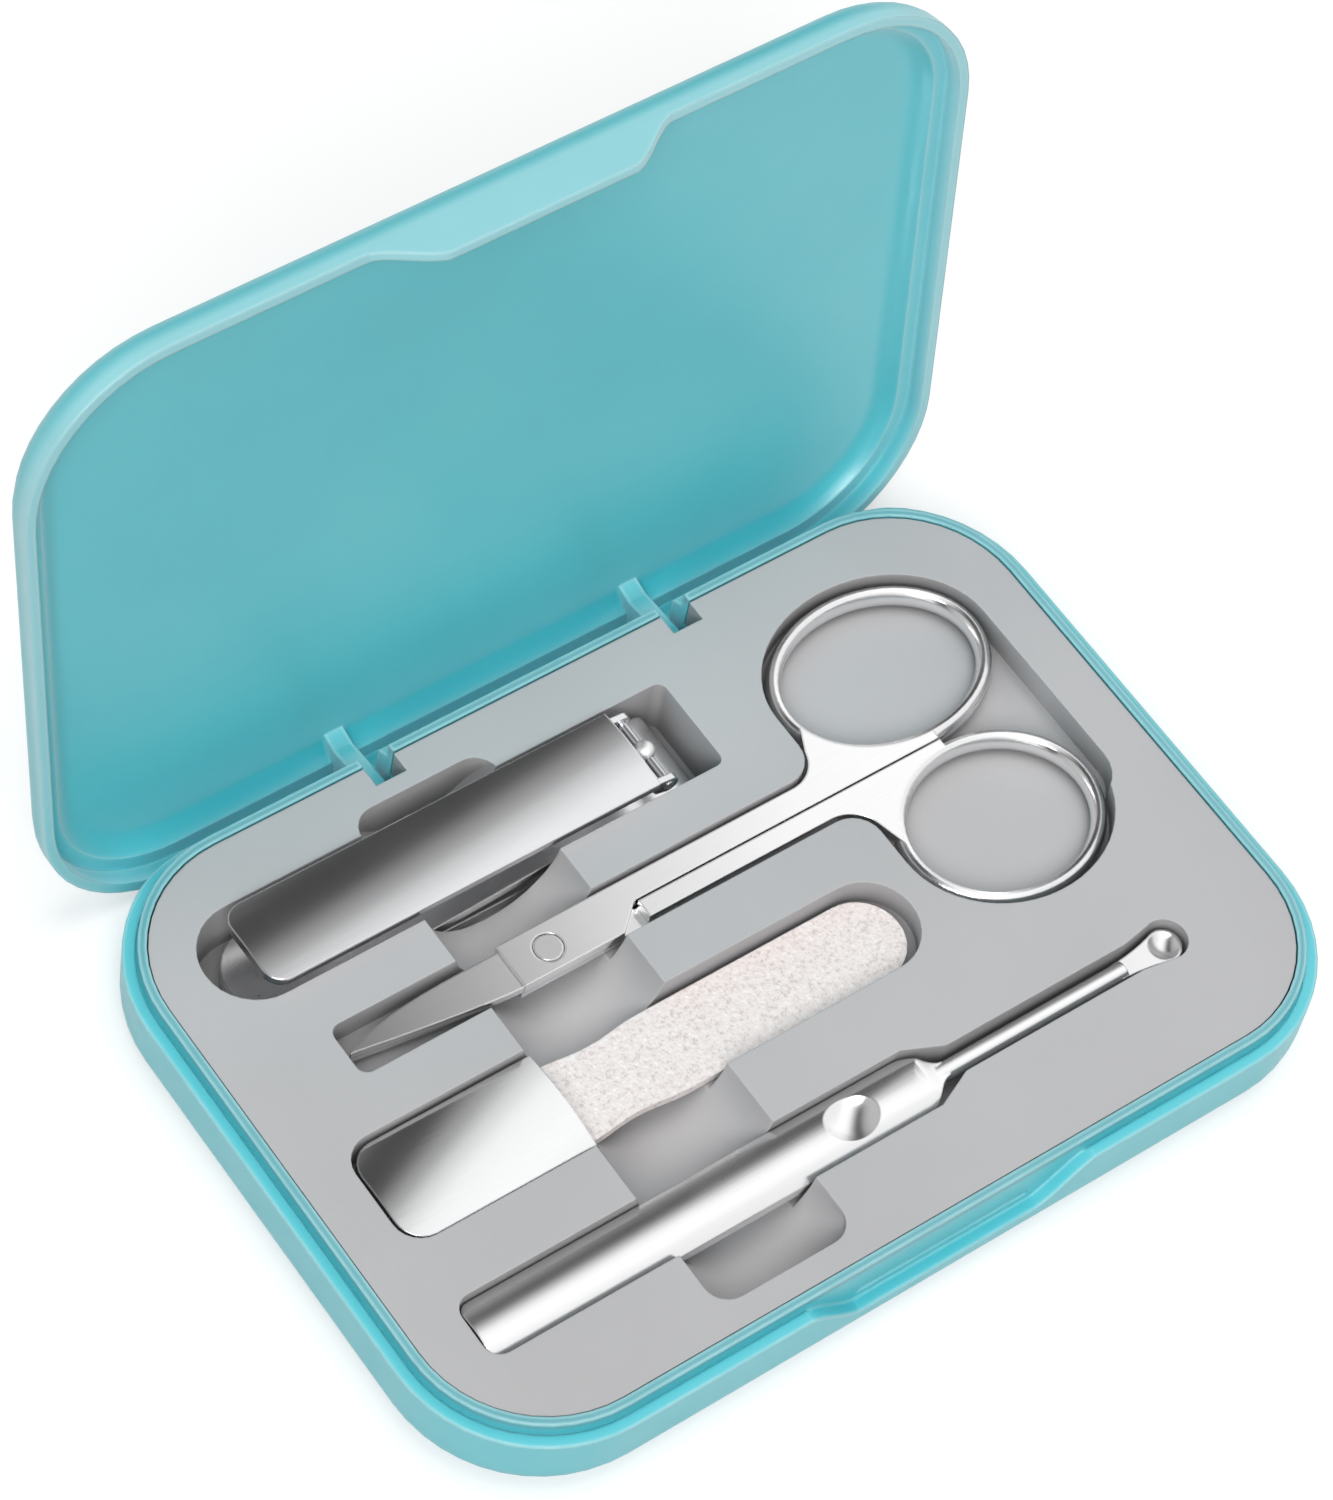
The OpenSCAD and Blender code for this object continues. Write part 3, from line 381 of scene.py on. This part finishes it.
def abrasive(name):
    """Abrasive plate: bonded grit with bright and dull grains."""
    tree = Tree(bpy.data.materials.new(name))
    cells = tree.add("ShaderNodeTexVoronoi", Scale=LUMP_SCALE)
    tree.link(tree.place(), cells.inputs["Vector"])
    grains = tree.noise(GRIT_SCALE, GRIT_DETAIL, roughness=GRIT_ROUGHNESS)
    tree.link(tree.ramp(grains, GRIT_STOPS), tree.shader.inputs["Base Color"])
    lumps = tree.math("MULTIPLY", cells.outputs["Distance"], grains)
    normal = tree.bump(lumps, LUMP_HEIGHT, LUMP_STRENGTH, tree.soft_edges(GRIT_EDGE))
    tree.link(normal, tree.shader.inputs["Normal"])
    tree.set(Roughness=GRIT_ROUGH, Specular_IOR_Level=GRIT_GLOSS)
    return tree.owner


def paint(material, *names):
    for name in names:
        slots = NODES[name].data.materials
        slots.clear()
        slots.append(material)


def smoothed(mesh):
    """Copy of a mesh that is smooth but for its sharp edges, with its flat facets joined."""
    mesh = mesh.copy()
    if "custom_normal" in mesh.attributes:
        mesh.attributes.remove(mesh.attributes["custom_normal"])
    work = bmesh.new()
    work.from_mesh(mesh)
    bmesh.ops.remove_doubles(work, verts=work.verts, dist=MERGE_DISTANCE)
    bmesh.ops.dissolve_limit(work, angle_limit=FLAT_ANGLE, verts=work.verts, edges=work.edges)
    for face in work.faces:
        face.smooth = True
    for edge in work.edges:
        edge.smooth = edge.is_manifold and edge.calc_face_angle(0.0) < SMOOTH_ANGLE
    work.to_mesh(mesh)
    work.free()
    return mesh


def polish(material, slot, *names):
    """Smoothly shaded copies of nodes, shown in their place, so that curved faces shine without facets."""
    pieces = []
    for name in names:
        mesh = smoothed(NODES[name].data)
        mesh.materials.clear()
        mesh.materials.append(material)
        piece = bpy.data.objects.new(name + "_skin", mesh)
        bpy.context.scene.collection.objects.link(piece)
        piece.modifiers.new("even", "WEIGHTED_NORMAL").keep_sharp = True
        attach(piece, body_of(NODES[name])[0])
        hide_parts(name)
        pieces.append(piece)
    return pieces


def dress_case():
    shell = (TURQUOISE, TURQUOISE_DEEP, TURQUOISE_HIGHLIGHT, TURQUOISE_SHADE)
    tray = (TRAY_GREY, TRAY_GREY_DARK, TRAY_HIGHLIGHT, TRAY_SHADE)
    polish(moulded_plastic("base_plastic", shell, SHELL_FINISH, BASE_LIP_SHADE), "shell", "base_shell")
    for lid in polish(moulded_plastic("lid_plastic", shell, SHELL_FINISH, LID_RIM_HIGHLIGHT), "shell", "lid_shell"):
        lid.visible_glossy = False
    polish(moulded_plastic("tray_plastic", tray, TRAY_FINISH), "tray", "tray_insert")
    paint(steel("pin_steel", PIN_STEEL, rough=0.25, edge=0.15), "hinge_pin_left", "hinge_pin_right",
          "clipper_cross_pin")


def dress_clipper():
    arm = steel("arm_steel", rough=0.24, bow=4, centre=-0.6)
    polish(arm, "polished_steel", "clipper_lower_arm", "clipper_upper_arm")
    polish(steel("post_steel", rough=0.45), "polished_steel", "clipper_post")
    lever = steel("lever_steel", CHROME_DULL, rough=0.14, bow=3, centre=0.7)
    polish(lever, "polished_steel", "clipper_lever")
    paint(steel("tail_rivet_steel", rough=0.2), "clipper_tail_rivet")


def dress_file_and_pick():
    paint(abrasive("abrasive_grit"), "file_blade")
    handle = steel("handle_steel", CHROME_SOFT, rough=0.14, bow=3.6, centre=0.26)
    polish(handle, "polished_steel", "file_handle")
    polish(steel("pick_steel", rough=0.23, bow=4, centre=0.2), "polished_steel", "ear_pick")


def dress_scissors():
    half = steel("scissors_steel", rough=0.16, brush=0.002, bow=11, centre=0.24)
    polish(half, "satin_steel", "scissors_rear_half", "scissors_front_half")
    paint(steel("rivet_steel", rough=0.16, brush=0.002), "scissors_rivet")


def add_camera():
    data = bpy.data.cameras.new("camera")
    data.lens = CAMERA_LENS
    data.sensor_width = SENSOR_WIDTH
    data.clip_start = CLIP_START
    data.clip_end = CLIP_END
    camera = bpy.data.objects.new("camera", data)
    turn = Matrix(CAMERA_AXES).transposed().to_4x4()
    camera.matrix_world = Matrix.Translation(CAMERA_PLACE) @ turn
    bpy.context.scene.collection.objects.link(camera)
    bpy.context.scene.camera = camera


def add_area(name, place, size, power, mirrored=True):
    data = bpy.data.lights.new(name, "AREA")
    data.shape = "DISK"
    data.size = size
    data.energy = power
    light = bpy.data.objects.new(name, data)
    aim = (Vector(LIGHT_TARGET) - Vector(place)).to_track_quat("-Z", "Y")
    light.matrix_world = Matrix.Translation(place) @ aim.to_matrix().to_4x4()
    light.visible_glossy = mirrored
    bpy.context.scene.collection.objects.link(light)


def add_world():
    """White to the camera, to polished metal a studio that is dark behind on the left, else an even fill."""
    world = bpy.data.worlds.new("studio")
    bpy.context.scene.world = world
    tree = Tree(world)
    tree.nodes.clear()
    outward = tree.add("ShaderNodeTexCoord").outputs["Generated"]
    across = tree.math("ADD", tree.along(outward, STUDIO_ACROSS), STUDIO_MIDDLE)
    greys = [(at, (value, value, value, 1)) for at, value in STUDIO_STOPS]
    studio = tree.add("ShaderNodeBackground", Strength=STUDIO_STRENGTH)
    tree.link(tree.ramp(across, greys, "EASE"), studio.inputs["Color"])
    fill = tree.add("ShaderNodeBackground", Color=WHITE, Strength=FILL_STRENGTH)
    plain = tree.add("ShaderNodeBackground", Color=WHITE, Strength=1.0)
    path = tree.add("ShaderNodeLightPath").outputs
    lit = tree.choose(path["Is Glossy Ray"], fill, studio)
    shown = tree.choose(path["Is Camera Ray"], lit, plain)
    tree.link(shown.outputs[0], tree.add("ShaderNodeOutputWorld").inputs["Surface"])


def add_floor():
    """Wide floor, white to the camera and a calmer grey to the light that bounces off it."""
    corners = [(x * FLOOR_HALF, y * FLOOR_HALF, 0) for x, y in ((-1, -1), (1, -1), (1, 1), (-1, 1))]
    mesh = bpy.data.meshes.new("floor")
    mesh.from_pydata(corners, [], [(0, 1, 2, 3)])
    floor = bpy.data.objects.new("floor", mesh)
    floor.location.z = -FLOOR_DROP
    bpy.context.scene.collection.objects.link(floor)
    tree = Tree(bpy.data.materials.new("floor_white"))
    path = tree.add("ShaderNodeLightPath").outputs
    seen = tree.math("MAXIMUM", path["Is Camera Ray"], path["Is Glossy Ray"])
    tones = [(0.0, FLOOR_BOUNCE), (1.0, FLOOR_WHITE)]
    tree.link(tree.ramp(seen, tones), tree.shader.inputs["Base Color"])
    tree.link(tree.math("MULTIPLY", seen, FLOOR_GLOW), tree.shader.inputs["Emission Strength"])
    tree.set(Roughness=FLOOR_ROUGH, Specular_IOR_Level=FLOOR_GLOSS, Emission_Color=WHITE)
    mesh.materials.append(tree.owner)


def add_studio():
    add_world()
    add_floor()
    add_area("key", KEY_PLACE, KEY_SIZE, KEY_POWER)
    add_area("top_soft", TOP_PLACE, TOP_SIZE, TOP_POWER, mirrored=False)
    bpy.context.scene.view_settings.view_transform = "Standard"


dress_case()
dress_clipper()
dress_file_and_pick()
dress_scissors()
add_camera()
add_studio()
